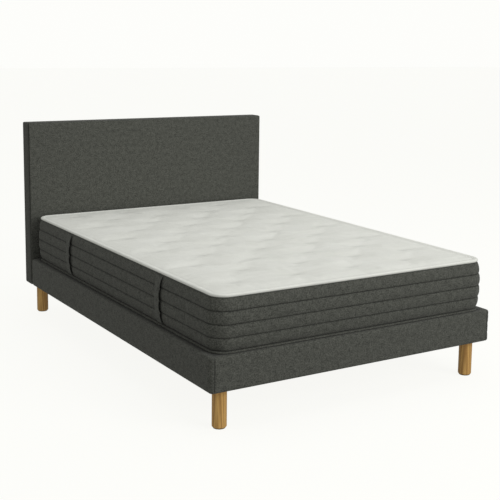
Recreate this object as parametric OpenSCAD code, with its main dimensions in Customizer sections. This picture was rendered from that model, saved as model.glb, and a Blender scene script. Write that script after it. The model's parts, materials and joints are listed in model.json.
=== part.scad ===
// Upholstered bed: a padded box base with an electrically adjustable slatted
// deck inside it, a mattress, and a headboard that carries the head end.
// +Y points to the head, +Z up; the origin is on the floor, under the middle.

/* [Bed] */
// Outer width of the upholstered base and headboard
base_w = 1450; // [1420:10:1650]
// Length of the base, from its foot face to the headboard
base_l = 2015; // [2005:5:2115]
// Height of the base's upholstered sides
base_h = 145; // [145:5:180]
// Height of the legs
leg_h = 165; // [150:5:260]
// Diameter of the legs
leg_d = 60; // [45:1:75]
// Distance of each leg's centre from the bed's side faces
leg_side = 77; // [60:1:90]
// Distance of the front legs' centres from the foot face
leg_foot = 68; // [60:1:90]

/* [Headboard] */
// Thickness of the headboard
head_t = 103; // [95:1:130]
// Height of the headboard's top above the floor
head_h = 1050; // [800:10:1250]

/* [Mattress] */
// Width of the mattress
mattress_w = 1400; // [1300:10:1400]
// Length of the mattress
mattress_l = 2000; // [1940:10:2000]
// Thickness of the mattress at its flat top
mattress_h = 235; // [180:5:260]
// Radius of the mattress's corners, seen from above
mattress_r = 75; // [60:5:150]
// Gap between the mattress and the headboard
mattress_gap = 5; // [2:1:10]
// Width of the carrying handles sewn on the mattress border
handle_w = 62; // [40:1:80]

/* [Adjustable deck] */
// Length of the back section, from its hinge to its end bar
back_l = 745; // [700:5:800]
// Length of the fixed seat section, between the two hinge axes
seat_l = 240; // [240:5:280]
// Length of the thigh section, from its hinge to the knee hinge
thigh_l = 340; // [300:5:360]
// Greatest angle of the back section, in degrees
back_max = 60; // [40:1:60]
// Greatest angle of the thigh section, in degrees
thigh_max = 35; // [20:1:35]
// Width of a slat
slat_w = 55; // [45:1:60]
// Thickness of a slat
slat_t = 8; // [6:1:9]
// Aimed distance from slat to slat
slat_pitch = 78; // [70:1:100]

/* [Hidden] */
$fn = 64;
eps = 1;

// Places along the bed
y_foot = -(base_l + head_t) / 2;
y_head = y_foot + base_l;
y_back = y_head + head_t;

// Upholstered sides: fabric over foam over board
skin_t = 2;
foam_t = 7;
board_t = 18;
wall_t = skin_t + foam_t + board_t;
corner_r = 18;
z_top = leg_h + base_h;
inner_x = base_w / 2 - wall_t;
block_l = 100;
block_h = 65;
gusset_t = 14;
opening_r = 105;

// Headboard layers, from the front
head_foam_t = 14;
head_edge_foam_t = 8;
head_panel_t = 9;
head_front = y_head + skin_t + head_foam_t;
head_frame_front = head_front + head_panel_t;
head_frame_back = y_back - skin_t - head_panel_t;
head_side = base_w / 2 - skin_t - head_edge_foam_t;
head_top = head_h - skin_t - head_edge_foam_t;
stile_w = 90;
head_rail_h = 80;
head_opening_edge = 35;

// Legs and their fixings
leg_x = base_w / 2 - leg_side;
leg_y_front = y_foot + leg_foot;
leg_y_rear = (y_head + y_back) / 2;
glide_t = 3;
leg_round = 5;
stud_r = 5;
stud_in_leg = 40;
stud_in_bed = 50;

// Fixed steel frame inside the base
frame_w = 30;
frame_h = 50;
frame_wall = 2.5;
frame_x = inner_x - frame_w;
frame_below_top = 110;
frame_z = z_top - frame_below_top;
bolt_r = 4;
bolt_hole_r = 4.5;
bolt_head_r = 8;
bolt_head_t = 5;
bolt_z = frame_z + frame_h / 2;
bolt_into_board = board_t - 2;
bolt_from_foot = [80, 750];
bolt_from_head = [370, 30];
frame_end_gap = 10;
frame_y0 = y_foot + wall_t + block_l + frame_end_gap;
frame_y1 = y_head - wall_t - block_l - frame_end_gap;
frame_bolt_ys = [
    frame_y0 + bolt_from_foot[0],
    frame_y0 + bolt_from_foot[1],
    frame_y1 - bolt_from_head[0],
    frame_y1 - bolt_from_head[1]
];
cross_past_knee = 315;
cross_past_back = 385;
head_bolt_out = 500;
head_bolt_mid = 200;
head_bolt_xs = [-head_bolt_out, -head_bolt_mid, head_bolt_mid, head_bolt_out];
head_bolt_in = 50;

// Hinge axes
pivot_below_top = 40;
pivot_z = z_top - pivot_below_top;
end_clear = 9;
calf_clear = 25;
back_y = y_head - wall_t - end_clear - back_l;
thigh_y = back_y - seat_l;
knee_y = thigh_y - thigh_l;
calf_end_y = y_foot + wall_t + calf_clear;
back_end_y = back_y + back_l;

// Deck rails, in one vertical plane on each side
rail_w = 25;
rail_h = 40;
rail_wall = 2;
rail_to_frame = 13;
rail_x = frame_x - rail_to_frame - rail_w;
rail_z = pivot_z - rail_h / 2;
rail_past = 22;
rail_clear = 33;
knee_play = 1;
lug_r = 15;
lug_t = 6;
lug_l = 30;
pin_in = 8;
pin_out = 2;
calf_past_knee = 18;
tube_r = 16;
tube_wall = 3;
run = 0.06;
bush_r = 18;
bearing_t = 6;
bearing_half = 25;
bearing_foot_t = 1.5;
bearing_foot_gap = 1;
tube_end = 2;
tube_end_x = frame_x + bearing_t + tube_end;

// Slats and their rubber holders
holder_l = 36;
holder_h = 20.5;
holder_y = 64;
holder_in = 8;
holder_x = rail_x - holder_in;
holder_base = 10;
holder_end = 8;
slat_end_x = holder_x + holder_l - holder_end;
first_back_slat = 80;
first_thigh_slat = 60;
first_knee_slat = 50;
last_slat = 70;
first_calf_slat = 79;
seat_slat_gap = 25;
seat_bracket_half = 30;
seat_bracket_t = 5;
seat_slat_clear = rail_clear + slat_w / 2 + seat_slat_gap;
end_bar_drop = 5;

// Parallel links that keep the calf section level
link_t = 5;
link_w = 24;
link_gap = 4;
link_x = rail_x + rail_w + link_gap;
link_r = 6;
link_drop = 50;
link_back = 200;
link_y = thigh_y - link_back;
link_z = pivot_z - link_drop;
link_play = 0.3;
ear_t = 3.4;
ear_r = 15;
ear_stud_past = 1.5;

// Twin drive
lever_l = 80;
lever_nose_r = 12;
lever_x = 18;
lever_t = 6;
back_stroke = 2 * lever_l * sin(back_max / 2);
leg_stroke = 2 * lever_l * sin(thigh_max / 2);
spindle_r = 7;
spindle_below_pivot = 86;
spindle_z = pivot_z - spindle_below_pivot;
spindle_back_over = 12;
spindle_leg_over = 10;
slider_l = 30;
slider_half_w = 28;
slider_h = 20;
back_push_gap = 1;
leg_push_gap = 1;
back_face_y = back_y - back_stroke / 2 - lever_nose_r - back_push_gap;
leg_face_y = thigh_y + leg_stroke / 2 + lever_nose_r + leg_push_gap;
drive_wall = 4;
drive_half_w = 42;
drive_below_pivot = 102;
drive_above_pivot = 20;
drive_past_back = 230;
drive_past_thigh = 235;
drive_roof_t = 3;
drive_bottom = pivot_z - drive_below_pivot;
drive_top = pivot_z + drive_above_pivot;
drive_head_y = back_y + drive_past_back;
drive_foot_y = thigh_y - drive_past_thigh;
guide_play = 0.5;
guide_past_thigh = 90;
guide_past_back = 60;
guide_below_slider = 4;
motor_r = 30;
motor_l = 95;
motor_gap = 0.5;
motor_z = drive_bottom + drive_wall + motor_r + motor_gap;
tube_play = 0.3;
inlet_y = (back_face_y + leg_face_y) / 2;
inlet_below_pivot = 60;
inlet_z = pivot_z - inlet_below_pivot;
inlet_l = 30;
inlet_h = 22;
inlet_d = 18;
inlet_wall = 3;
inlet_hole_l = 16;
inlet_hole_h = 12;
contact_y = 5;
contact_l = 10;
contact_r = 1.5;

// Control board and the parts that stand on it
control_gap = 38;
control_below_pivot = 30;
control_t = 2;
relay_w = 20;
relay_h = 16;
relay_gap = 4;
capacitor_x = 18;
capacitor_h = 18;
capacitor_r = 7;

// Mattress, cut where the deck folds
m_z0 = z_top + 1;
m_z1 = m_z0 + mattress_h;
m_head = y_head - mattress_gap;
m_foot = m_head - mattress_l;
m_x = mattress_w / 2;
fold_back_seat = 20;
fold_back_spare = 1;
fold_back_up = back_max + fold_back_spare - fold_back_seat;
fold_thigh_seat = 10;
fold_thigh_spare = 1.5;
fold_thigh_up = thigh_max + fold_thigh_spare - fold_thigh_seat;
cut = 0.5;
handle_t = 3;
handle_inset = 4;
handle_head_share = 0.736;
handle_foot_share = 0.232;
handle_head_y = y_foot + handle_head_share * base_l;
handle_foot_y = y_foot + handle_foot_share * base_l;

// ---------- shared shapes ----------

// A box between two corners
module block(from, to) {
    translate(from)
        cube(to - from);
}

// The shape and its mirror image on the other side of the bed
module both_sides() {
    children();
    mirror([1, 0, 0])
        children();
}

// A round bar along X, from x0 to x1
module rod_x(x0, x1, y, z, r) {
    translate([x0, y, z])
        rotate([0, 90, 0])
            cylinder(h = x1 - x0, r = r);
}

// A round bar along Y, from y0 to y1
module rod_y(x, y0, y1, z, r) {
    translate([x, y1, z])
        rotate([90, 0, 0])
            cylinder(h = y1 - y0, r = r);
}

// A rectangle with rounded corners between two corners of the plan
module rounded_plan(from, to, r) {
    translate([from[0] + r, from[1]])
        square([to[0] - from[0] - 2 * r, to[1] - from[1]]);
    translate([from[0], from[1] + r])
        square([to[0] - from[0], to[1] - from[1] - 2 * r]);
    for (x = [from[0] + r, to[0] - r], y = [from[1] + r, to[1] - r])
        translate([x, y])
            circle(r);
}

// A rounded plan, shrunk by inset, from height z0 to z1
module base_block(inset, r, z0, z1) {
    translate([0, 0, z0])
        linear_extrude(z1 - z0)
            rounded_plan([-base_w / 2 + inset, y_foot + inset],
                [base_w / 2 - inset, y_head - inset], r);
}

// The opening in the top of the base, with a round corner under each corner of the mattress
module deck_opening(z0, z1) {
    translate([0, 0, z0 - eps])
        linear_extrude(z1 - z0 + 2 * eps)
            rounded_plan([-inner_x, y_foot + wall_t], [inner_x, y_head - wall_t], opening_r);
}

// A square-section steel tube along Y, open at both ends
module tube_y(from, to, wall) {
    difference() {
        block(from, to);
        block([from[0] + wall, from[1] - eps, from[2] + wall],
            [to[0] - wall, to[1] + eps, to[2] - wall]);
    }
}

// A square-section steel tube along X, open at both ends
module tube_x(from, to, wall) {
    difference() {
        block(from, to);
        block([from[0] - eps, from[1] + wall, from[2] + wall],
            [to[0] + eps, to[1] - wall, to[2] - wall]);
    }
}

// The bolts that hold the base to the headboard, with any clearance
module head_bolt_holes() {
    for (x = head_bolt_xs)
        rod_y(x, y_head - wall_t - eps, head_frame_front + head_bolt_in, bolt_z, bolt_hole_r);
}

// A solid between two heights, extruded across the bed from its side view
module side_view(points, half_w) {
    translate([-half_w, 0, 0])
        rotate([90, 0, 90])
            linear_extrude(2 * half_w)
                polygon(points);
}

// Centres of evenly spaced slats between two places along the bed
function slat_ys(y0, y1) =
    let (n = max(2, round((y1 - y0) / slat_pitch) + 1))
    [for (i = [0 : n - 1]) y0 + i * (y1 - y0) / (n - 1)];

seat_slat_ys = slat_ys(thigh_y + seat_slat_clear, back_y - seat_slat_clear);
back_slat_ys = slat_ys(back_y + first_back_slat, back_end_y - last_slat);
thigh_slat_ys = slat_ys(knee_y + first_knee_slat, thigh_y - first_thigh_slat);
calf_slat_ys = slat_ys(y_foot + wall_t + first_calf_slat, knee_y - first_knee_slat);

// A row of sprung beech slats
module slat_row(ys) {
    color("burlywood")
        for (y = ys)
            block([-slat_end_x, y - slat_w / 2, rail_z + rail_h + holder_base],
                [slat_end_x, y + slat_w / 2, rail_z + rail_h + holder_base + slat_t]);
}

// The rubber caps that hold the ends of a row of slats
module holder_row(ys) {
    color("dimgray")
        both_sides()
            for (y = ys)
                difference() {
                    block([holder_x, y - holder_y / 2, rail_z + rail_h],
                        [holder_x + holder_l, y + holder_y / 2, rail_z + rail_h + holder_h]);
                    block([holder_x - eps, y - slat_w / 2, rail_z + rail_h + holder_base],
                        [slat_end_x, y + slat_w / 2, rail_z + rail_h + holder_base + slat_t]);
                }
}

// ---------- upholstered base ----------

module side_boards() {
    color("tan")
        both_sides()
            difference() {
                block([inner_x, y_foot + wall_t - board_t, leg_h + skin_t],
                    [inner_x + board_t, y_head - wall_t + board_t, z_top - skin_t]);
                for (y = frame_bolt_ys)
                    rod_x(inner_x - eps, inner_x + bolt_into_board, y, bolt_z, bolt_r);
            }
}

module foot_board() {
    color("tan")
        block([-inner_x, y_foot + wall_t - board_t, leg_h + skin_t],
            [inner_x, y_foot + wall_t, z_top - skin_t]);
}

module head_end_board() {
    color("tan")
        difference() {
            block([-inner_x, y_head - wall_t, leg_h + skin_t],
                [inner_x, y_head - wall_t + board_t, z_top - skin_t]);
            head_bolt_holes();
        }
}

module corner_blocks() {
    color("tan") {
        both_sides() {
            difference() {
                block([inner_x - block_l, y_foot + wall_t, leg_h],
                    [inner_x, y_foot + wall_t + block_l, leg_h + block_h]);
                translate([leg_x, leg_y_front, leg_h - eps])
                    cylinder(h = stud_in_bed + eps, r = stud_r);
            }
            block([inner_x - block_l, y_head - wall_t - block_l, leg_h],
                [inner_x, y_head - wall_t, leg_h + block_h]);
        }
        difference() {
            block([-inner_x, y_foot + wall_t, z_top - skin_t - gusset_t],
                [inner_x, y_head - wall_t, z_top - skin_t]);
            deck_opening(z_top - skin_t - gusset_t, z_top);
        }
    }
}

module base_padding() {
    color("whitesmoke")
        difference() {
            base_block(skin_t, corner_r - skin_t, leg_h + skin_t, z_top - skin_t);
            block([-inner_x - board_t, y_foot + wall_t - board_t, leg_h],
                [inner_x + board_t, y_head - wall_t + board_t, z_top]);
            head_bolt_holes();
        }
}

module base_cover() {
    color("dimgray")
        difference() {
            base_block(0, corner_r, leg_h, z_top);
            base_block(skin_t, corner_r - skin_t, leg_h + skin_t, z_top - skin_t);
            block([-inner_x, y_foot + wall_t, leg_h - eps],
                [inner_x, y_head - wall_t, z_top - skin_t]);
            deck_opening(z_top - skin_t, z_top);
            head_bolt_holes();
        }
}

// ---------- legs ----------

// A turned leg with a rounded bottom edge and a hole for its stud
module leg(x, y) {
    r = leg_d / 2;
    color("peru")
        translate([x, y, glide_t])
            difference() {
                rotate_extrude() {
                    square([r - leg_round, leg_h - glide_t]);
                    translate([0, leg_round])
                        square([r, leg_h - glide_t - leg_round]);
                    intersection() {
                        translate([r - leg_round, leg_round])
                            circle(leg_round);
                        square([r, leg_round]);
                    }
                }
                translate([0, 0, leg_h - glide_t - stud_in_leg])
                    cylinder(h = stud_in_leg + eps, r = stud_r);
            }
}

module leg_front_left() {
    leg(-leg_x, leg_y_front);
}

module leg_front_right() {
    leg(leg_x, leg_y_front);
}

module leg_rear_left() {
    leg(-leg_x, leg_y_rear);
}

module leg_rear_right() {
    leg(leg_x, leg_y_rear);
}

module leg_bolts() {
    color("silver")
        for (x = [-leg_x, leg_x], y = [leg_y_front, leg_y_rear])
            translate([x, y, leg_h - stud_in_leg])
                cylinder(h = stud_in_leg + stud_in_bed, r = stud_r);
}

module leg_glides() {
    color("saddlebrown")
        for (x = [-leg_x, leg_x], y = [leg_y_front, leg_y_rear])
            translate([x, y, 0])
                cylinder(h = glide_t, r = leg_d / 2 - leg_round);
}

// ---------- headboard ----------

module headboard_stiles() {
    color("tan")
        both_sides()
            difference() {
                block([head_side - stile_w, head_frame_front, leg_h + skin_t],
                    [head_side, head_frame_back, head_top]);
                translate([leg_x, leg_y_rear, leg_h])
                    cylinder(h = stud_in_bed, r = stud_r);
            }
}

module headboard_rails() {
    middle_z = (leg_h + head_h) / 2;
    color("tan")
        difference() {
            for (z = [leg_h + skin_t, middle_z, head_top - head_rail_h])
                block([-head_side + stile_w, head_frame_front, z],
                    [head_side - stile_w, head_frame_back, z + head_rail_h]);
            head_bolt_holes();
        }
}

module headboard_front_panel() {
    color("tan")
        difference() {
            block([-head_side, head_front, leg_h + skin_t],
                [head_side, head_frame_front, head_top]);
            head_bolt_holes();
        }
}

module headboard_back_panel() {
    color("black")
        block([-head_side, head_frame_back, leg_h + skin_t],
            [head_side, y_back - skin_t, head_top]);
}

module headboard_padding() {
    side = base_w / 2 - skin_t;
    color("whitesmoke")
        difference() {
            block([-side, y_head + skin_t, leg_h + skin_t],
                [side, y_back - skin_t, head_h - skin_t]);
            block([-head_side, head_front, leg_h],
                [head_side, y_back, head_top]);
            head_bolt_holes();
        }
}

module headboard_cover() {
    side = base_w / 2;
    color("dimgray")
        difference() {
            block([-side, y_head, leg_h], [side, y_back, head_h]);
            block([-side + skin_t, y_head + skin_t, leg_h + skin_t],
                [side - skin_t, y_back - skin_t, head_h - skin_t]);
            block([-side + head_opening_edge, y_back - skin_t - eps, leg_h + head_opening_edge],
                [side - head_opening_edge, y_back + eps, head_h - head_opening_edge]);
            for (x = [-leg_x, leg_x])
                translate([x, leg_y_rear, leg_h - eps])
                    cylinder(h = skin_t + 2 * eps, r = stud_r);
            head_bolt_holes();
        }
}

// ---------- fixed steel frame ----------

module frame_rails() {
    color("slategray")
        both_sides() {
            difference() {
                tube_y([frame_x, frame_y0, frame_z], [inner_x, frame_y1, frame_z + frame_h],
                    frame_wall);
                for (y = frame_bolt_ys)
                    rod_x(frame_x - eps, inner_x + eps, y, bolt_z, bolt_r);
            }
            rod_x(link_x - link_play, frame_x, link_y, link_z, link_r);
        }
}

module frame_cross_tubes() {
    color("slategray")
        for (y = [knee_y - cross_past_knee, back_y + cross_past_back])
            tube_x([-frame_x, y - frame_w / 2, frame_z], [frame_x, y + frame_w / 2, frame_z + frame_h],
                frame_wall);
}

module frame_bolts() {
    color("silver") {
        both_sides()
            for (y = frame_bolt_ys) {
                rod_x(frame_x, inner_x + bolt_into_board, y, bolt_z, bolt_r);
                rod_x(frame_x - bolt_head_t, frame_x, y, bolt_z, bolt_head_r);
            }
        for (x = head_bolt_xs) {
            rod_y(x, y_head - wall_t, head_frame_front + head_bolt_in, bolt_z, bolt_r);
            rod_y(x, y_head - wall_t - bolt_head_t, y_head - wall_t, bolt_z, bolt_head_r);
        }
    }
}

// Angle brackets that stand on the frame rails and carry the torsion tubes
module bearing_brackets() {
    color("slategray")
        both_sides()
            for (y = [back_y, thigh_y])
                difference() {
                    union() {
                        block([frame_x, y - bearing_half, frame_z + frame_h],
                            [frame_x + bearing_t, y + bearing_half, pivot_z + bearing_half]);
                        block([frame_x, y - bearing_half, frame_z + frame_h],
                            [inner_x - bearing_foot_gap, y + bearing_half,
                                frame_z + frame_h + bearing_foot_t]);
                    }
                    rod_x(frame_x - eps, inner_x, y, pivot_z, bush_r);
                }
}

module bearing_bushes() {
    color("white")
        both_sides()
            for (y = [back_y, thigh_y])
                difference() {
                    rod_x(frame_x, frame_x + bearing_t, y, pivot_z, bush_r);
                    rod_x(frame_x - eps, frame_x + bearing_t + eps, y, pivot_z, tube_r + run);
                }
}

// ---------- fixed seat section ----------

module seat_rails() {
    mid = (back_y + thigh_y) / 2;
    bracket_x = rail_x + rail_w;
    color("slategray")
        both_sides() {
            tube_y([rail_x, thigh_y + rail_clear, rail_z],
                [rail_x + rail_w, back_y - rail_clear, rail_z + rail_h], rail_wall);
            block([bracket_x, mid - seat_bracket_half, frame_z + seat_bracket_t],
                [bracket_x + seat_bracket_t, mid + seat_bracket_half, rail_z + rail_h]);
            block([bracket_x + seat_bracket_t, mid - seat_bracket_half, frame_z + seat_bracket_t],
                [frame_x, mid + seat_bracket_half, frame_z + frame_h - seat_bracket_t]);
        }
}

module seat_slats() {
    slat_row(seat_slat_ys);
}

module seat_slat_holders() {
    holder_row(seat_slat_ys);
}

// ---------- twin drive ----------

// The room that a torsion tube needs where it passes through the drive
module tube_passage(y) {
    rod_x(-drive_half_w - eps, drive_half_w + eps, y, pivot_z, tube_r + tube_play);
}

module drive_housing() {
    w = drive_half_w;
    inside = w - drive_wall;
    guide_x = slider_half_w + guide_play;
    guide_top = spindle_z + slider_h / 2 - guide_below_slider;
    color("black")
        difference() {
            block([-w, drive_foot_y, drive_bottom], [w, drive_head_y, pivot_z]);
            difference() {
                block([-inside, drive_foot_y + drive_wall, drive_bottom + drive_wall],
                    [inside, drive_head_y - drive_wall, pivot_z + eps]);
                for (side = [-1, 1])
                    block([min(side * guide_x, side * w), thigh_y - guide_past_thigh, drive_bottom],
                        [max(side * guide_x, side * w), back_y + guide_past_back, guide_top]);
            }
            tube_passage(back_y);
            tube_passage(thigh_y);
            block([-w - eps, inlet_y - inlet_hole_l / 2, inlet_z - inlet_hole_h / 2],
                [-inside + eps, inlet_y + inlet_hole_l / 2, inlet_z + inlet_hole_h / 2]);
        }
}

module drive_cover() {
    w = drive_half_w;
    inside = w - drive_wall;
    color("black")
        difference() {
            block([-w, drive_foot_y, pivot_z], [w, drive_head_y, drive_top]);
            block([-inside, drive_foot_y + drive_wall, pivot_z - eps],
                [inside, drive_head_y - drive_wall, drive_top - drive_roof_t]);
            tube_passage(back_y);
            tube_passage(thigh_y);
        }
}

// Two gear motors, each at its own end of the housing
module drive_motors() {
    color("silver") {
        rod_y(0, drive_head_y - drive_wall - motor_l, drive_head_y - drive_wall, motor_z, motor_r);
        rod_y(0, drive_foot_y + drive_wall, drive_foot_y + drive_wall + motor_l, motor_z, motor_r);
    }
}

module control_board() {
    y0 = leg_face_y + control_gap;
    y1 = back_face_y - control_gap;
    z0 = pivot_z - control_below_pivot;
    z1 = z0 + control_t;
    inside = drive_half_w - drive_wall;
    color("seagreen") {
        block([-inside, y0, z0], [inside, y1, z1]);
        block([-relay_w, y0 + relay_gap, z1], [0, y1 - relay_gap, z1 + relay_h]);
        translate([capacitor_x, (y0 + y1) / 2, z1])
            cylinder(h = capacitor_h, r = capacitor_r);
    }
}

// Mains socket in the side of the housing, with two contact pins
module power_inlet() {
    x1 = -drive_half_w;
    x0 = x1 - inlet_d;
    color("dimgray") {
        difference() {
            block([x0, inlet_y - inlet_l / 2, inlet_z - inlet_h / 2],
                [x1, inlet_y + inlet_l / 2, inlet_z + inlet_h / 2]);
            block([x0 - eps, inlet_y - inlet_l / 2 + inlet_wall, inlet_z - inlet_h / 2 + inlet_wall],
                [x1 - inlet_wall, inlet_y + inlet_l / 2 - inlet_wall,
                    inlet_z + inlet_h / 2 - inlet_wall]);
        }
        for (y = [inlet_y - contact_y, inlet_y + contact_y])
            rod_x(x1 - contact_l, x1 - inlet_wall, y, inlet_z, contact_r);
    }
}

// Threaded spindles, drawn at the thread's outer diameter
module spindle_back() {
    color("silver")
        rod_y(0, back_face_y - slider_l - spindle_back_over, drive_head_y - drive_wall - motor_l,
            spindle_z, spindle_r);
}

module spindle_leg() {
    color("silver")
        rod_y(0, drive_foot_y + drive_wall + motor_l, leg_face_y + slider_l + spindle_leg_over, spindle_z,
            spindle_r);
}

// A nut block that runs on a spindle and pushes the lever's two noses
module slider(y0) {
    color("white")
        difference() {
            block([-slider_half_w, y0, spindle_z - slider_h / 2],
                [slider_half_w, y0 + slider_l, spindle_z + slider_h / 2]);
            rod_y(0, y0 - eps, y0 + slider_l + eps, spindle_z, spindle_r + run);
        }
}

module slider_back() {
    slider(back_face_y - slider_l);
}

module slider_leg() {
    slider(leg_face_y);
}

// ---------- moving sections ----------

// A torsion tube, which turns in the bearing brackets
module torsion_tube(y) {
    color("slategray")
        difference() {
            rod_x(-tube_end_x, tube_end_x, y, pivot_z, tube_r);
            rod_x(-tube_end_x - eps, tube_end_x + eps, y, pivot_z, tube_r - tube_wall);
        }
}

// Two parallel lever arms under a torsion tube, swung back by half the travel
module lever(y, angle) {
    color("slategray")
        translate([0, y, pivot_z])
            rotate([angle, 0, 0])
                both_sides()
                    difference() {
                        union() {
                            block([lever_x, -lever_nose_r, -lever_l],
                                [lever_x + lever_t, lever_nose_r, 0]);
                            rod_x(lever_x, lever_x + lever_t, 0, -lever_l, lever_nose_r);
                        }
                        rod_x(lever_x - eps, lever_x + lever_t + eps, 0, 0, tube_r);
                    }
}

module back_tube() {
    torsion_tube(back_y);
}

module back_lever() {
    lever(back_y, -back_max / 2);
}

module back_rails() {
    color("slategray")
        both_sides()
            difference() {
                tube_y([rail_x, back_y - rail_past, rail_z],
                    [rail_x + rail_w, back_end_y, rail_z + rail_h], rail_wall);
                rod_x(rail_x - eps, rail_x + rail_w + eps, back_y, pivot_z, tube_r);
            }
}

module back_end_bar() {
    color("slategray")
        tube_x([-rail_x, back_end_y - rail_w, rail_z + end_bar_drop],
            [rail_x, back_end_y, rail_z + rail_h - end_bar_drop], rail_wall);
}

module back_slats() {
    slat_row(back_slat_ys);
}

module back_slat_holders() {
    holder_row(back_slat_ys);
}

module thigh_tube() {
    torsion_tube(thigh_y);
}

module thigh_lever() {
    lever(thigh_y, thigh_max / 2);
}

// Thigh rails, each with a lug inside it that holds the knee pin
module thigh_rails() {
    color("slategray")
        both_sides()
            difference() {
                union() {
                    tube_y([rail_x, knee_y + rail_clear, rail_z],
                        [rail_x + rail_w, thigh_y + rail_past, rail_z + rail_h], rail_wall);
                    block([rail_x - lug_t, knee_y, pivot_z - lug_r],
                        [rail_x, knee_y + rail_clear + lug_l, pivot_z + lug_r]);
                    rod_x(rail_x - lug_t, rail_x, knee_y, pivot_z, lug_r);
                }
                rod_x(rail_x - lug_t - eps, rail_x + rail_w + eps, thigh_y, pivot_z, tube_r);
                rod_x(rail_x - lug_t - eps, rail_x + eps, knee_y, pivot_z, link_r);
            }
}

module thigh_slats() {
    slat_row(thigh_slat_ys);
}

module thigh_slat_holders() {
    holder_row(thigh_slat_ys);
}

module knee_pins() {
    color("silver")
        both_sides()
            rod_x(rail_x - pin_in, rail_x + rail_w + pin_out, knee_y, pivot_z, link_r);
}

// Calf rails, each with an ear and a stud for its parallel link
module calf_rails() {
    ear_y = link_y - thigh_l;
    x1 = rail_x + rail_w;
    color("slategray")
        both_sides()
            difference() {
                union() {
                    tube_y([rail_x + knee_play, calf_end_y, rail_z],
                        [x1, knee_y + calf_past_knee, rail_z + rail_h], rail_wall);
                    block([x1, ear_y - ear_r, link_z], [x1 + ear_t, ear_y + ear_r, rail_z + rail_h]);
                    rod_x(x1, x1 + ear_t, ear_y, link_z, ear_r);
                    rod_x(x1, link_x + link_t + ear_stud_past, ear_y, link_z, link_r);
                }
                rod_x(rail_x - eps, x1 + eps, knee_y, pivot_z, link_r + run);
            }
}

module calf_end_bar() {
    x = rail_x + knee_play;
    color("slategray")
        tube_x([-x, calf_end_y, rail_z + end_bar_drop],
            [x, calf_end_y + rail_w, rail_z + rail_h - end_bar_drop], rail_wall);
}

module calf_slats() {
    slat_row(calf_slat_ys);
}

module calf_slat_holders() {
    holder_row(calf_slat_ys);
}

module leg_links() {
    y0 = link_y - thigh_l;
    color("silver")
        both_sides()
            difference() {
                union() {
                    block([link_x, y0, link_z - link_w / 2],
                        [link_x + link_t, link_y, link_z + link_w / 2]);
                    rod_x(link_x, link_x + link_t, y0, link_z, link_w / 2);
                    rod_x(link_x, link_x + link_t, link_y, link_z, link_w / 2);
                }
                rod_x(link_x - eps, link_x + link_t + eps, link_y, link_z, link_r + run);
                rod_x(link_x - eps, link_x + link_t + eps, y0, link_z, link_r + link_play);
            }
}

// ---------- mattress ----------

// A point of the mattress's side view, on a plane through a hinge axis that
// leans by angle from upright, towards the head
function lean(y, angle, z) = [y + (z - pivot_z) * tan(angle), z];

// The part of the mattress inside a side view
module mattress_part(points) {
    intersection() {
        translate([0, 0, m_z0])
            linear_extrude(mattress_h)
                rounded_plan([-m_x, m_foot], [m_x, m_head], mattress_r);
        side_view(points, m_x + eps);
    }
}

module mattress_back() {
    color("gainsboro")
        mattress_part([lean(back_y, fold_back_up, m_z0), [m_head + eps, m_z0],
            [m_head + eps, m_z1], lean(back_y, fold_back_up, m_z1)]);
}

module mattress_seat() {
    color("gainsboro")
        side_view([lean(thigh_y, fold_thigh_seat, m_z0), lean(back_y, -fold_back_seat, m_z0),
            lean(back_y, -fold_back_seat, m_z1), lean(thigh_y, fold_thigh_seat, m_z1)], m_x);
}

module mattress_thigh() {
    color("gainsboro")
        side_view([[knee_y + cut, m_z0], lean(thigh_y, -fold_thigh_up, m_z0),
            lean(thigh_y, -fold_thigh_up, m_z1), [knee_y + cut, m_z1]], m_x);
}

module mattress_calf() {
    color("gainsboro")
        mattress_part([[m_foot - eps, m_z0], [knee_y - cut, m_z0],
            [knee_y - cut, m_z1], [m_foot - eps, m_z1]]);
}

// A wedge of the mattress that is squeezed where the deck folds upwards
module mattress_fold(y, foot_angle, head_angle) {
    color("gainsboro")
        side_view([lean(y + cut, -foot_angle, m_z0), lean(y - cut, head_angle, m_z0),
            lean(y - cut, head_angle, m_z1), lean(y + cut, -foot_angle, m_z1)], m_x);
}

module mattress_fold_back() {
    mattress_fold(back_y, fold_back_seat, fold_back_up);
}

module mattress_fold_thigh() {
    mattress_fold(thigh_y, fold_thigh_up, fold_thigh_seat);
}

// Upright straps on both sides of the mattress border
module handles(y) {
    color("dimgray")
        both_sides()
            block([m_x, y, m_z0 + handle_inset],
                [m_x + handle_t, y + handle_w, m_z1 - 4 * handle_inset]);
}

module mattress_handles_back() {
    handles(handle_head_y);
}

module mattress_handles_foot() {
    handles(handle_foot_y);
}

side_boards();
foot_board();
head_end_board();
corner_blocks();
base_padding();
base_cover();
leg_front_left();
leg_front_right();
leg_rear_left();
leg_rear_right();
leg_bolts();
leg_glides();
headboard_stiles();
headboard_rails();
headboard_front_panel();
headboard_back_panel();
headboard_padding();
headboard_cover();
frame_rails();
frame_cross_tubes();
frame_bolts();
bearing_brackets();
bearing_bushes();
seat_rails();
seat_slats();
seat_slat_holders();
drive_housing();
drive_cover();
drive_motors();
control_board();
power_inlet();
spindle_back();
spindle_leg();
slider_back();
slider_leg();
back_tube();
back_lever();
back_rails();
back_end_bar();
back_slats();
back_slat_holders();
thigh_tube();
thigh_lever();
thigh_rails();
thigh_slats();
thigh_slat_holders();
knee_pins();
calf_rails();
calf_end_bar();
calf_slats();
calf_slat_holders();
leg_links();
mattress_back();
mattress_seat();
mattress_thigh();
mattress_calf();
mattress_fold_back();
mattress_fold_thigh();
mattress_handles_back();
mattress_handles_foot();
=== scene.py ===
"""Looks for a padded bed whose slatted deck lifts: fabric, quilt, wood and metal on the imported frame."""
import json
from math import copysign, cos, pi, radians, sin

import bpy
import numpy as np
from mathutils import Matrix, Vector


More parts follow.
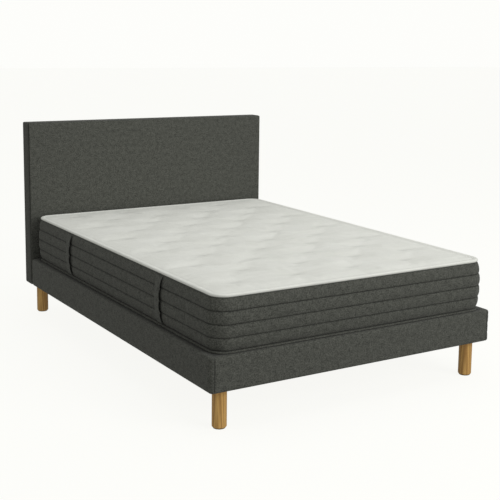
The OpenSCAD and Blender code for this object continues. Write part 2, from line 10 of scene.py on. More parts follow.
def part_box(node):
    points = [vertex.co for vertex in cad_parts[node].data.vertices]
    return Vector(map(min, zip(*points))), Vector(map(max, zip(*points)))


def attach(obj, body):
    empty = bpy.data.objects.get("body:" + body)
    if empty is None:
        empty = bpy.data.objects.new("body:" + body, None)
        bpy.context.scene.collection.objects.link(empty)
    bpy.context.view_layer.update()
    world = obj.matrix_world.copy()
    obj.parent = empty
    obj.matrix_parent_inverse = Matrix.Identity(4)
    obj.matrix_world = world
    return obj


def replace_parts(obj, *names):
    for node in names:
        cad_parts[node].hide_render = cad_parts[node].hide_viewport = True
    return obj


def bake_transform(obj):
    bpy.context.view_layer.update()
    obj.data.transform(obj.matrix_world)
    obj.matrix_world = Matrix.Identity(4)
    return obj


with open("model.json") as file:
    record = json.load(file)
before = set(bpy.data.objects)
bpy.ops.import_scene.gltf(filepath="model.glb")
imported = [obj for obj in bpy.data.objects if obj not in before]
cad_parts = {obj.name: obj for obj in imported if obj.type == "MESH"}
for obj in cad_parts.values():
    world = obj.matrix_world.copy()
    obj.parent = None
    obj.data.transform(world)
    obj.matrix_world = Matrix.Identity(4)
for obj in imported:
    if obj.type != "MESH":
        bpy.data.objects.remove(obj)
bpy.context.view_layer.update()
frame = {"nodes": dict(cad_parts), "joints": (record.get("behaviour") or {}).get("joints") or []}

JOINTS = {joint["name"]: joint for joint in frame["joints"]}

# ---- camera, floor and light

CAMERA_PLACE = (-2.549, -4.348, 1.523)
CAMERA_YAW = radians(32.58)
CAMERA_PITCH = radians(8.49)
CAMERA_ROLL = radians(0.87)
CAMERA_LENS = 73.74
CAMERA_SHIFT = (-0.05, -0.12)
SKY_LEVELS = (0.985, 0.42)       # strength as the camera sees it, and as a source of light
FLOOR_LEVELS = (0.91, 0.28)
FLOOR_REACH = 40.0


def add_object(name, data):
    made = bpy.data.objects.new(name, data)
    bpy.context.scene.collection.objects.link(made)
    return made


def new_mesh(name, points, faces):
    mesh = bpy.data.meshes.new(name)
    mesh.from_pydata([tuple(map(float, p)) for p in points], [], faces)
    return mesh


def make_camera():
    """Looks from the foot end's left towards the headboard, a little downwards."""
    camera = add_object("camera", bpy.data.cameras.new("camera"))
    bpy.context.scene.camera = camera
    camera.data.lens = CAMERA_LENS
    camera.data.shift_x, camera.data.shift_y = CAMERA_SHIFT
    ahead = Vector((sin(CAMERA_YAW) * cos(CAMERA_PITCH),
                    cos(CAMERA_YAW) * cos(CAMERA_PITCH),
                    -sin(CAMERA_PITCH)))
    level = Vector((cos(CAMERA_YAW), -sin(CAMERA_YAW), 0))
    above = level.cross(ahead)
    right = level * cos(CAMERA_ROLL) + above * sin(CAMERA_ROLL)
    up = above * cos(CAMERA_ROLL) - level * sin(CAMERA_ROLL)
    turn = Matrix((right, up, -ahead)).transposed().to_4x4()
    camera.matrix_world = Matrix.Translation(CAMERA_PLACE) @ turn


def area_light(name, place, target, size, watts):
    """A soft square light at place, aimed at target."""
    light = bpy.data.lights.new(name, "AREA")
    light.size = size
    light.energy = watts
    lamp = add_object(name, light)
    lamp.location = place
    lamp.rotation_euler = (Vector(target) - Vector(place)).to_track_quat("-Z", "Y").to_euler()


def seen_or_lit(tree, socket, seen, lit):
    """Gives a socket one strength where the camera sees it and another as a source of light."""
    path = tree.nodes.new("ShaderNodeLightPath")
    level = tree.nodes.new("ShaderNodeMapRange")
    level.inputs["To Min"].default_value = lit
    level.inputs["To Max"].default_value = seen
    tree.links.new(path.outputs["Is Camera Ray"], level.inputs["Value"])
    tree.links.new(level.outputs["Result"], socket)


def make_studio():
    """A pale floor, a white surround and two soft lights."""
    scene = bpy.context.scene
    scene.view_settings.view_transform = "Standard"
    world = bpy.data.worlds.new("studio")
    scene.world = world
    world.use_nodes = True
    sky = world.node_tree.nodes["Background"]
    sky.inputs["Color"].default_value = (1.0, 1.0, 0.975, 1)
    seen_or_lit(world.node_tree, sky.inputs["Strength"], *SKY_LEVELS)
    corners = [(x * FLOOR_REACH, y * FLOOR_REACH, 0) for x, y in ((-1, -1), (1, -1), (1, 1), (-1, 1))]
    floor = add_object("floor", new_mesh("floor", corners, [(0, 1, 2, 3)]))
    paint = Look("pale_floor", 0.9, Base_Color=(0.1, 0.1, 0.098, 1), Specular_IOR_Level=0.1,
                 Emission_Color=(1.0, 1.0, 0.97, 1))
    seen_or_lit(paint.tree, paint.shader.inputs["Emission Strength"], *FLOOR_LEVELS)
    floor.data.materials.append(paint.material)
    area_light("key", (2.8, -6.4, 3.2), (0, 0, 0.6), 3.5, 190)
    area_light("top", (0.6, -0.4, 5.0), (0, 0, 0.5), 4.0, 60)


# ---- materials


class Look:
    """One procedural material, built by short calls on its node tree."""

    def __init__(self, name, roughness, metallic=0.0, **constants):
        self.material = bpy.data.materials.new(name)
        self.material.use_nodes = True
        self.tree = self.material.node_tree
        self.shader = self.tree.nodes["Principled BSDF"]
        self.shader.inputs["Roughness"].default_value = roughness
        self.shader.inputs["Metallic"].default_value = metallic
        for key, value in constants.items():
            self.shader.inputs[key.replace("_", " ")].default_value = value

    def node(self, kind, inputs, **settings):
        """A new node with its settings made and its inputs filled or linked."""
        made = self.tree.nodes.new("ShaderNode" + kind)
        for key, value in settings.items():
            setattr(made, key, value)
        for key, value in inputs.items():
            if isinstance(value, bpy.types.NodeSocket):
                self.tree.links.new(value, made.inputs[key])
            elif made.inputs[key].type == "RGBA":
                made.inputs[key].default_value = (*value, 1)
            else:
                made.inputs[key].default_value = value
        return made

    def link(self, value, key):
        self.tree.links.new(value, self.shader.inputs[key])

    def cloth_place(self):
        """Metres along the cloth, from the piece's own cloth map."""
        return self.node("UVMap", {}, uv_map="cloth").outputs["UV"]

    def place(self):
        return self.node("TexCoord", {}).outputs["Object"]

    def stretch(self, vector, scale):
        return self.node("Mapping", {"Vector": vector, "Scale": scale}).outputs["Vector"]

    def noise(self, vector, scale, detail=2.0, roughness=0.5, distortion=0.0):
        made = self.node("TexNoise", {"Vector": vector, "Scale": scale, "Detail": detail,
                                      "Roughness": roughness, "Distortion": distortion})
        return made.outputs["Fac"]

    def maths(self, operation, first, second=0.0):
        return self.node("Math", {0: first, 1: second}, operation=operation).outputs[0]

    def spread(self, value, low, high, to_low=0.0, to_high=1.0):
        """value from low..high to to_low..to_high, held at both ends."""
        made = self.node("MapRange", {"Value": value, "From Min": low, "From Max": high,
                                      "To Min": to_low, "To Max": to_high})
        return made.outputs["Result"]

    def pick(self, share, first, second):
        """first where share is 0, second where it is 1, as numbers."""
        return self.node("Mix", {0: share, 2: first, 3: second}, data_type="FLOAT").outputs[0]

    def blend(self, share, first, second, how="MIX"):
        """first where share is 0, second where it is 1, as colours."""
        made = self.node("Mix", {0: share, 6: first, 7: second}, data_type="RGBA", blend_type=how)
        return made.outputs[2]

    def shaded(self, colour, share):
        """colour darkened to share of itself."""
        grey = self.node("CombineColor", {"Red": share, "Green": share, "Blue": share})
        return self.blend(1.0, colour, grey.outputs["Color"], "MULTIPLY")

    def painted_shade(self, colour, depth):
        """colour darkened by painted shade, by depth where the seam attribute is 1: in seam grooves,
        creases, tuft dimples, under the handles' free edges and along contact lines.
        """
        seam = self.node("Attribute", {}, attribute_name="seam").outputs["Fac"]
        return self.shaded(colour, self.spread(seam, 0.0, 1.0, 1.0, 1.0 - depth))

    def two_tone(self, value, low, high, dark, light):
        return self.blend(self.spread(value, low, high), dark, light)

    def cells(self, vector, scale, output="Distance", **settings):
        return self.node("TexVoronoi", {"Vector": vector, "Scale": scale}, **settings).outputs[output]

    def cell_greys(self, vector, scale):
        return self.node("RGBToBW", {"Color": self.cells(vector, scale, "Color")}).outputs[0]

    def tint(self, colour):
        self.link(colour, "Base Color")

    def rough(self, *spread):
        self.link(self.spread(*spread), "Roughness")

    def relief(self, *bump):
        self.link(self.bump(*bump), "Normal")

    def bump(self, height, distance, strength=1.0, under=None):
        inputs = {"Height": height, "Distance": distance, "Strength": strength}
        if under is not None:
            inputs["Normal"] = under
        return self.node("Bump", inputs).outputs["Normal"]


def weave(look, place, thread):
    """(height of a plain weave, 1 where the weft is on top), from sine waves a thread wide."""
    turns = pi / thread
    axes = look.node("SeparateXYZ", {"Vector": place})
    across = look.maths("SINE", look.maths("MULTIPLY", axes.outputs["X"], turns))
    along = look.maths("SINE", look.maths("MULTIPLY", axes.outputs["Y"], turns))
    crossing = look.maths("MULTIPLY", across, along)
    rounded = look.maths("POWER", look.maths("ABSOLUTE", crossing), 0.4)
    return rounded, look.spread(crossing, -0.2, 0.2)


def marl_fabric(name, dark, light, thread, mottling):
    """Woven cloth of mottled yarn, whose shade drifts along each thread."""
    look = Look(name, 0.9, Sheen_Weight=0.1, Sheen_Roughness=0.45, Specular_IOR_Level=0.15)
    place = look.cloth_place()
    height, weft_on_top = weave(look, place, thread)
    fine = 1 / thread
    warp = look.noise(look.stretch(place, (fine, fine * 0.12, 1)), 1.0, 3.0, 0.6)
    weft = look.noise(look.stretch(place, (fine * 0.12, fine, 1)), 1.0, 3.0, 0.6)
    yarn = look.spread(look.pick(weft_on_top, warp, weft), 0.3, 0.7)
    mottle = look.spread(look.noise(place, 165.0, 4.0, 0.6), 0.40, 0.60)
    drift = look.spread(look.noise(place, 48.0, 2.0), 0.3, 0.7)
    shade = look.pick(mottling, yarn, mottle)
    shade = look.pick(0.24, shade, drift)
    colour = look.two_tone(shade, 0.1, 0.9, dark, light)
    # painted shade between the threads, where the weave is low
    colour = look.shaded(colour, look.spread(height, 0.1, 0.7, 0.6, 1.0))
    # painted shade from the seam attribute, up to 0.72 dark
    look.tint(look.painted_shade(colour, 0.72))
    fuzz = look.noise(place, fine * 1.7, 3.0, 0.7)
    woven = look.pick(0.35, height, fuzz)
    look.rough(mottle, 0.0, 1.0, 0.84, 0.96)
    look.relief(woven, thread * 0.35, 0.8)
    return look.material


def white_knit(name):
    """Soft white ticking: fine knitted ribs with faint wider waves."""
    look = Look(name, 0.95, Sheen_Weight=0.15, Sheen_Roughness=0.6, Specular_IOR_Level=0.12)
    place = look.cloth_place()
    rib = 0.0026
    height, _ = weave(look, place, rib)
    wave = look.noise(look.stretch(place, (7.0, 34.0, 1)), 1.0, 3.0, 0.55)
    clouds = look.noise(place, 5.0, 3.0)
    fuzz = look.noise(place, 900.0, 2.0)
    colour = look.two_tone(clouds, 0.3, 0.7, (0.855, 0.865, 0.805), (0.905, 0.915, 0.86))
    # painted shade between the knitted ribs
    colour = look.shaded(colour, look.spread(height, 0.0, 0.6, 0.93, 1.0))
    # painted shade in the troughs of the wave bump
    colour = look.shaded(colour, look.spread(wave, 0.3, 0.6, 0.965, 1.0))
    # painted shade from the seam attribute, up to 0.3 dark
    look.tint(look.painted_shade(colour, 0.3))
    look.rough(fuzz, 0.3, 0.7, 0.9, 1.0)
    ribbed = look.bump(look.pick(0.3, height, fuzz), rib * 0.3, 0.6)
    look.relief(wave, 0.006, 0.35, ribbed)
    return look.material


def wood(name, dark, light, grain, rings, gloss, ply=0.0):
    """Planed wood. grain stretches the pattern: small along the grain, large across it."""
    look = Look(name, gloss, Specular_IOR_Level=0.4, Coat_Weight=0.12, Coat_Roughness=0.35)
    place = look.place()
    stretched = look.stretch(place, grain)
    bands = look.node("TexWave", {"Vector": stretched, "Scale": rings, "Distortion": 3.2, "Detail": 3.0,
                                  "Detail Scale": 1.3, "Detail Roughness": 0.6},
                      wave_type="BANDS", bands_direction="DIAGONAL").outputs["Fac"]
    fibre = look.noise(look.stretch(place, tuple(g * 22 for g in grain)), 1.0, 4.0, 0.65)
    pores = look.noise(look.stretch(place, tuple(g * 60 for g in grain)), 1.0, 2.0, 0.5)
    broad = look.noise(stretched, 1.3, 2.0)
    shade = look.pick(0.45, bands, fibre)
    shade = look.pick(0.25, shade, broad)
    colour = look.two_tone(shade, 0.2, 0.8, dark, light)
    colour = look.shaded(colour, look.spread(pores, 0.33, 0.5, 0.8, 1.0))
    if ply:
        height = look.node("SeparateXYZ", {"Vector": place}).outputs["Z"]
        layer = look.maths("SINE", look.maths("MULTIPLY", height, 2 * pi / ply))
        colour = look.shaded(colour, look.spread(layer, -0.3, 0.3, 0.8, 1.0))
    look.tint(colour)
    look.rough(fibre, 0.3, 0.7, gloss - 0.08, gloss + 0.1)
    look.relief(pores, 0.0006, 0.4, look.bump(shade, 0.0008, 0.3))
    return look.material


def chipboard(name, dark, light):
    """Pressed wood chips."""
    look = Look(name, 0.8, Specular_IOR_Level=0.25)
    place = look.place()
    grey = look.cell_greys(look.stretch(place, (1, 1, 1.7)), 260.0)
    dust = look.noise(place, 700.0, 3.0, 0.6)
    shade = look.pick(0.4, grey, dust)
    look.tint(look.two_tone(shade, 0.2, 0.8, dark, light))
    look.relief(shade, 0.0006, 0.4)
    return look.material


def foam(name, dark, light):
    """Open-cell foam."""
    look = Look(name, 0.95, Specular_IOR_Level=0.1)
    place = look.place()
    cells = look.cells(place, 650.0)
    stain = look.noise(place, 12.0, 3.0)
    colour = look.two_tone(stain, 0.3, 0.7, dark, light)
    # painted shade in the cells' hollows, darkest at their middles
    look.tint(look.shaded(colour, look.spread(cells, 0.0, 0.5, 0.8, 1.0)))
    look.relief(cells, 0.0008, 0.6)
    return look.material


def felt(name, dark, light, fibre):
    """Pressed fibres: felt pads and thin lining cloth."""
    look = Look(name, 0.95, Sheen_Weight=0.3, Specular_IOR_Level=0.1)
    place = look.place()
    hairs = look.noise(place, 1 / fibre, 5.0, 0.7, 1.2)
    pressed = look.cells(place, 0.25 / fibre)
    shade = look.pick(0.3, hairs, pressed)
    look.tint(look.two_tone(shade, 0.3, 0.7, dark, light))
    look.relief(hairs, fibre, 0.7)
    return look.material


def coated_steel(name, dark, light):
    """Powder-coated steel with an orange-peel skin and a little dust."""
    look = Look(name, 0.45, Specular_IOR_Level=0.5, Coat_Weight=0.2, Coat_Roughness=0.3)
    place = look.place()
    peel = look.noise(place, 900.0, 2.0, 0.5)
    dust = look.spread(look.noise(place, 14.0, 5.0, 0.6), 0.42, 0.75)
    look.tint(look.blend(dust, dark, light))
    look.rough(dust, 0.0, 1.0, 0.38, 0.62)
    look.relief(peel, 0.0005, 0.35)
    return look.material


def bare_steel(name, dark, light, turned):
    """Plated or turned metal. turned stretches the fine machining marks."""
    look = Look(name, 0.35, metallic=1.0)
    place = look.place()
    marks = look.noise(look.stretch(place, turned), 1.0, 3.0, 0.6)
    spangle = look.cell_greys(place, 130.0)
    look.tint(look.blend(look.pick(0.5, marks, spangle), dark, light))
    look.rough(marks, 0.3, 0.7, 0.25, 0.5)
    look.relief(marks, 0.0003, 0.3)
    return look.material


def moulded(name, dark, light, roughness, grain, sheen=0.0):
    """Moulded plastic or rubber with a fine grain and slight wear."""
    look = Look(name, roughness, Specular_IOR_Level=0.4, Sheen_Weight=sheen)
    place = look.place()
    pits = look.cells(place, grain, feature="SMOOTH_F1")
    wear = look.noise(place, 22.0, 4.0, 0.6)
    look.tint(look.two_tone(wear, 0.45, 0.75, dark, light))
    look.rough(wear, 0.3, 0.7, roughness - 0.08, roughness + 0.12)
    look.relief(pits, 0.0006, 0.35)
    return look.material


def circuit(name):
    """Green solder mask with copper tracks under it and pale pads."""
    look = Look(name, 0.35, Specular_IOR_Level=0.5, Coat_Weight=0.3, Coat_Roughness=0.2)
    place = look.place()
    tracks = look.node("TexBrick", {"Vector": look.stretch(place, (1, 1, 0)), "Scale": 55.0,
                                    "Mortar Size": 0.035, "Brick Width": 0.7, "Row Height": 0.22})
    pads = look.cells(place, 240.0)
    colour = look.blend(tracks.outputs["Fac"], (0.006, 0.09, 0.03), (0.02, 0.2, 0.07))
    look.tint(look.blend(look.spread(pads, 0.1, 0.14, 1.0, 0.0), colour, (0.6, 0.58, 0.5)))
    look.relief(tracks.outputs["Fac"], 0.0004, 0.4)
    return look.material


ALONG_X = (1.2, 16.0, 16.0)
ALONG_Z = (26.0, 26.0, 0.8)
DARK_YARN = (0.042, 0.0431, 0.0375)
FINISHES = {
    "upholstery": marl_fabric("grey_marl_weave", DARK_YARN, (0.160, 0.1645, 0.1425), 0.0023, 0.55),
    "mattress_border": marl_fabric("grey_border_knit", DARK_YARN, (0.158, 0.1625, 0.1405), 0.0018, 0.55),
    "mattress_knit": white_knit("white_ticking"),
    "leg_wood": wood("oak_legs", (0.40, 0.195, 0.048), (0.84, 0.51, 0.155), ALONG_Z, 2.6, 0.45),
    "slat_wood": wood("beech_slats", (0.50, 0.30, 0.15), (0.78, 0.56, 0.33), ALONG_X, 2.2, 0.42, ply=0.004),
    "timber": wood("pine_framing", (0.45, 0.28, 0.13), (0.72, 0.52, 0.30), ALONG_X, 2.0, 0.65),
    "board": chipboard("chipboard", (0.30, 0.19, 0.10), (0.62, 0.46, 0.29)),
    "padding": foam("cream_foam", (0.66, 0.62, 0.50), (0.78, 0.75, 0.65)),
    "lining": felt("black_lining", (0.008, 0.008, 0.008), (0.03, 0.03, 0.03), 0.0012),
    "felt": felt("brown_felt", (0.05, 0.035, 0.025), (0.16, 0.12, 0.09), 0.0006),
    "zinc_steel": bare_steel("zinc_plate", (0.42, 0.43, 0.43), (0.72, 0.72, 0.70), (500.0, 40.0, 500.0)),
    "motor_steel": bare_steel("motor_cases", (0.35, 0.35, 0.35), (0.55, 0.55, 0.54), (60.0, 700.0, 60.0)),
    "frame_steel": coated_steel("black_powder_coat", (0.03, 0.032, 0.035), (0.085, 0.085, 0.085)),
    "nylon": moulded("white_nylon", (0.72, 0.71, 0.67), (0.80, 0.79, 0.76), 0.45, 1500.0),
    "drive_plastic": moulded("black_housing", (0.018, 0.018, 0.02), (0.04, 0.04, 0.042), 0.5, 1700.0),
    "slat_rubber": moulded("slat_rubber", (0.02, 0.02, 0.02), (0.05, 0.05, 0.048), 0.75, 1200.0, 0.1),
    "circuit": circuit("circuit_board"),
}

for node in frame["nodes"].values():
    for spot in node.material_slots:
        spot.material = FINISHES[spot.material.name.split(".")[0]]

# ---- mesh helpers


CLOTH_STEPS = 20
CLOTH_SETTINGS = {"quality": 3, "mass": 0.3, "tension_stiffness": 15.0, "compression_stiffness": 15.0,
                  "shear_stiffness": 5.0, "bending_stiffness": 2.0, "vertex_group_mass": "held",
                  "use_pressure": True}


def mesh_piece(name, points, faces, slot):
    """A new smooth-shaded piece with the finish that slot names."""
    piece = add_object(name, new_mesh(name, points, faces))
    piece.data.materials.append(FINISHES[slot])
    piece.data.shade_smooth()
    return piece


def map_cloth(piece):
    """Gives the piece its cloth map: metres along it, square on from each face's main side."""
    mesh = piece.data
    layer = mesh.uv_layers.new(name="cloth")
    for face in mesh.polygons:
        side = max(range(3), key=lambda axis: abs(face.normal[axis]))
        for corner in face.loop_indices:
            place = mesh.vertices[mesh.loops[corner].vertex_index].co
            across = place.y if side == 0 else place.x
            along = place.y if side == 2 else place.z
            layer.data[corner].uv = (across, along)


def write_cloth_map(piece, maps):
    """Gives the piece its cloth map from one place for each corner of each face."""
    layer = piece.data.uv_layers.new(name="cloth")
    layer.data.foreach_set("uv", np.array(maps, np.float32).ravel())


def store_painted_shade(piece, marks):
    """Stores how much painted shade each point gets, in its seam attribute, for the fabric's shading:
    darkening at seam grooves, creases, gaps and contact lines.
    """
    seam = piece.data.attributes.new("seam", "FLOAT", "POINT")
    seam.data.foreach_set("value", np.array(marks, np.float32))


def quad_normals(points, faces):
    """The smooth normal at every point of a quad mesh."""
    quads = np.array(faces)
    corner = points[quads]
    normal = np.cross(corner[:, 2] - corner[:, 0], corner[:, 3] - corner[:, 1])
    total = np.zeros_like(points)
    for k in range(4):
        np.add.at(total, quads[:, k], normal)
    return total / np.maximum(np.linalg.norm(total, axis=1, keepdims=True), 1e-12)


def swell(points, faces, held, pressure, slack, cap):
    """Inflates a sheet of cloth between its held points, moving none further than cap."""
    sheet = add_object("cloth", new_mesh("cloth", points, faces))
    sheet.vertex_groups.new(name="held").add([int(i) for i in np.flatnonzero(held)], 1.0, "REPLACE")
    cloth = sheet.modifiers.new("cloth", "CLOTH")
    settings = cloth.settings
    for key, value in CLOTH_SETTINGS.items():
        setattr(settings, key, value)
    settings.uniform_pressure_force = pressure
    settings.shrink_min = -slack
    settings.effector_weights.gravity = 0
    cloth.collision_settings.use_collision = False
    cloth.collision_settings.use_self_collision = False
    for moment in range(1, CLOTH_STEPS + 1):
        bpy.context.scene.frame_set(moment)
    grown = sheet.evaluated_get(bpy.context.evaluated_depsgraph_get()).to_mesh()
    moved = np.array([v.co for v in grown.vertices], float) - points
    bpy.data.objects.remove(sheet)
    length = np.linalg.norm(moved, axis=1, keepdims=True)
    return points + moved * np.minimum(1, cap / np.maximum(length, 1e-9))


# ---- mattress

MATTRESS_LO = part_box("mattress_calf")[0]
MATTRESS_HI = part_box("mattress_back")[1]
MATTRESS_HALF = MATTRESS_HI.x
MATTRESS_CORNER = 0.075
BARREL = (0.004, 0.0125, 2.6)  # how far the border stands out at mid height, its fall, and how sharp
COLUMNS = 112
ROWS = 160
PANEL_INSET = 0.034           # from the mattress's outline in to the crease inside the rolled edge
PANEL_DROP = 0.0045           # of the crease and the tufts, below the mattress's top
BAND_TOP = MATTRESS_HI.z - 0.012
BAND_BOTTOM = MATTRESS_LO.z + 0.0095
BANDS = 4
BAND_STEPS = (0.04, 0.11, 0.24, 0.42, 0.60, 0.77, 0.89, 0.96, 1.0)
CHANNEL_DEPTH = 0.0065
PIPING_R = 0.0042
TUFT_STEP = (0.295, 0.171)
TUFT_EDGE = (0.51, 0.155)
STITCH_DIP = 0.0042
HOLLOW_DIP = 0.0018
CROWN = 0.004
PIPING_CENTRE = (-0.0088, MATTRESS_LO.z + PIPING_R - 0.0006)
DECK_SIDE = 0.668             # the slats and their holders lie inside this
SLACK_UNDER = 0.003
HEAD_CLEARANCE = 0.003        # how far the cover may swell past the mattress's head end


def smooth_step(share):
    share = min(1.0, max(0.0, share))
    return share * share * (3 - 2 * share)


class Fold:
    """Where the mattress bends over one joint, as a stretch along Y that has the joint inside it."""

    def __init__(self, joint, first_body, second_body, start, end):
        self.bodies = (first_body, second_body)
        self.start, self.end = start, end
        self.hinge = JOINTS[joint]["pos_m"][1]
        self.lift = MATTRESS_LO.z - JOINTS[joint]["pos_m"][2]
        self.angle = radians(JOINTS[joint]["range_deg"][1])
        self.way = 1 if end > start else -1

    def share(self, y):
        return smooth_step((y - self.start) / (self.end - self.start))

    def sink(self, y):
        """How far the mattress's underside would go into the slats at the joint's limit."""
        out = (y - self.hinge) * self.way
        turn = self.share(y) * self.angle
        if out > 0:
            turn -= self.angle
        height = out * sin(turn) + self.lift * cos(turn)
        return max(0.0, self.lift - height)

    def apply(self, piece):
        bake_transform(piece)


ROW_STEP = (MATTRESS_HI.y - MATTRESS_LO.y - 2 * PANEL_INSET) / ROWS


def row_near(y):
    return round((y - MATTRESS_LO.y - PANEL_INSET) / ROW_STEP)


def row_place(row):
    return MATTRESS_LO.y + PANEL_INSET + row * ROW_STEP


SEAT_ROW = row_near(0.0)
THIGH_ROW = row_near(-0.26)
KNEE = JOINTS["calf_level"]["pos_m"][1]
FOLD_BACK = Fold("back_lift", "root", "back", row_place(SEAT_ROW), row_place(SEAT_ROW) + 0.43)
FOLD_THIGH = Fold("thigh_lift", "root", "thigh", row_place(SEAT_ROW), row_place(THIGH_ROW))
FOLD_KNEE = Fold("calf_level", "thigh", "calf", row_place(THIGH_ROW), 2 * KNEE - row_place(THIGH_ROW))


def recess(y):
    """Height of the hollow that keeps the mattress off the slats when a section is up."""
    deepest = FOLD_BACK.sink(y) if y > row_place(SEAT_ROW) else FOLD_THIGH.sink(y)
    return deepest + SLACK_UNDER if deepest > 0 else 0.0


def rounded_sheet(half_w, y0, y1, corner):
    """x and y of a flat grid, [row, column], whose outline is a rectangle with round corners."""
    x, y = np.meshgrid(np.linspace(-half_w, half_w, COLUMNS + 1), np.linspace(y0, y1, ROWS + 1))
    mid, half_l = (y0 + y1) / 2, (y1 - y0) / 2
    u = np.clip((np.abs(x) - half_w + corner) / corner, 0, 1)
    v = np.clip((np.abs(y - mid) - half_l + corner) / corner, 0, 1)
    x += np.sign(x) * corner * (u * np.sqrt(1 - v * v / 2) - u)
    y += np.sign(y - mid) * corner * (v * np.sqrt(1 - u * u / 2) - v)
    return x, y


def outline(columns, rows):
    """(row, column) of each grid point round the edge, anticlockwise from the front left corner."""
    front = [(0, c) for c in range(columns)]
    right = [(r, columns) for r in range(rows)]
    back = [(rows, c) for c in range(columns, 0, -1)]
    left = [(r, 0) for r in range(rows, 0, -1)]
    return front + right + back + left


def rolled_edge():
    """(out from the outline, z) down the white rolled edge, from the crease to the seam."""
    top = MATTRESS_HI.z
    return [(-0.0300, top - 0.0032), (-0.0235, top - 0.0002), (-0.0175, top + 0.0010),
            (-0.0120, top + 0.0002), (-0.0088, top - 0.0022), (-0.0078, top - 0.0055),
            (-0.0090, top - 0.0090), (-0.0120, BAND_TOP)]


def barrel(share):
    """How far the border stands out at a share of the way down it."""
    return BARREL[0] - BARREL[1] * abs(2 * share - 1) ** BARREL[2]


def banded_side():
    """(out, z, held) down the border: bands that swell between sewn channels, then the piping."""
    made = []
    height = (BAND_TOP - BAND_BOTTOM) / BANDS
    for band in range(BANDS):
        for share in BAND_STEPS:
            channel = -CHANNEL_DEPTH * (1 - abs(sin(pi * share)) ** 0.42)
            out = barrel((band + share) / BANDS) + channel
            made.append((out, BAND_TOP - (band + share) * height, share == 1.0))
    for turn in range(80, -101, -30):
        angle = radians(turn)
        made.append((PIPING_CENTRE[0] + PIPING_R * cos(angle),
                     PIPING_CENTRE[1] + PIPING_R * sin(angle), True))
    made.append((-0.018, MATTRESS_LO.z, True))
    return made


def tufts():
    """Places of the quilting's sewn dimples: staggered rows across the mattress."""
    places = []
    row = 0
    y = MATTRESS_LO.y + TUFT_EDGE[1] + 0.03
    while y < MATTRESS_HI.y - TUFT_EDGE[1] + 0.06:
        side = -1 if row % 2 == 0 else 1
        places += [(side * (TUFT_EDGE[0] - TUFT_STEP[0] * k), y) for k in range(4)]
        y += TUFT_STEP[1]
        row += 1
    return places


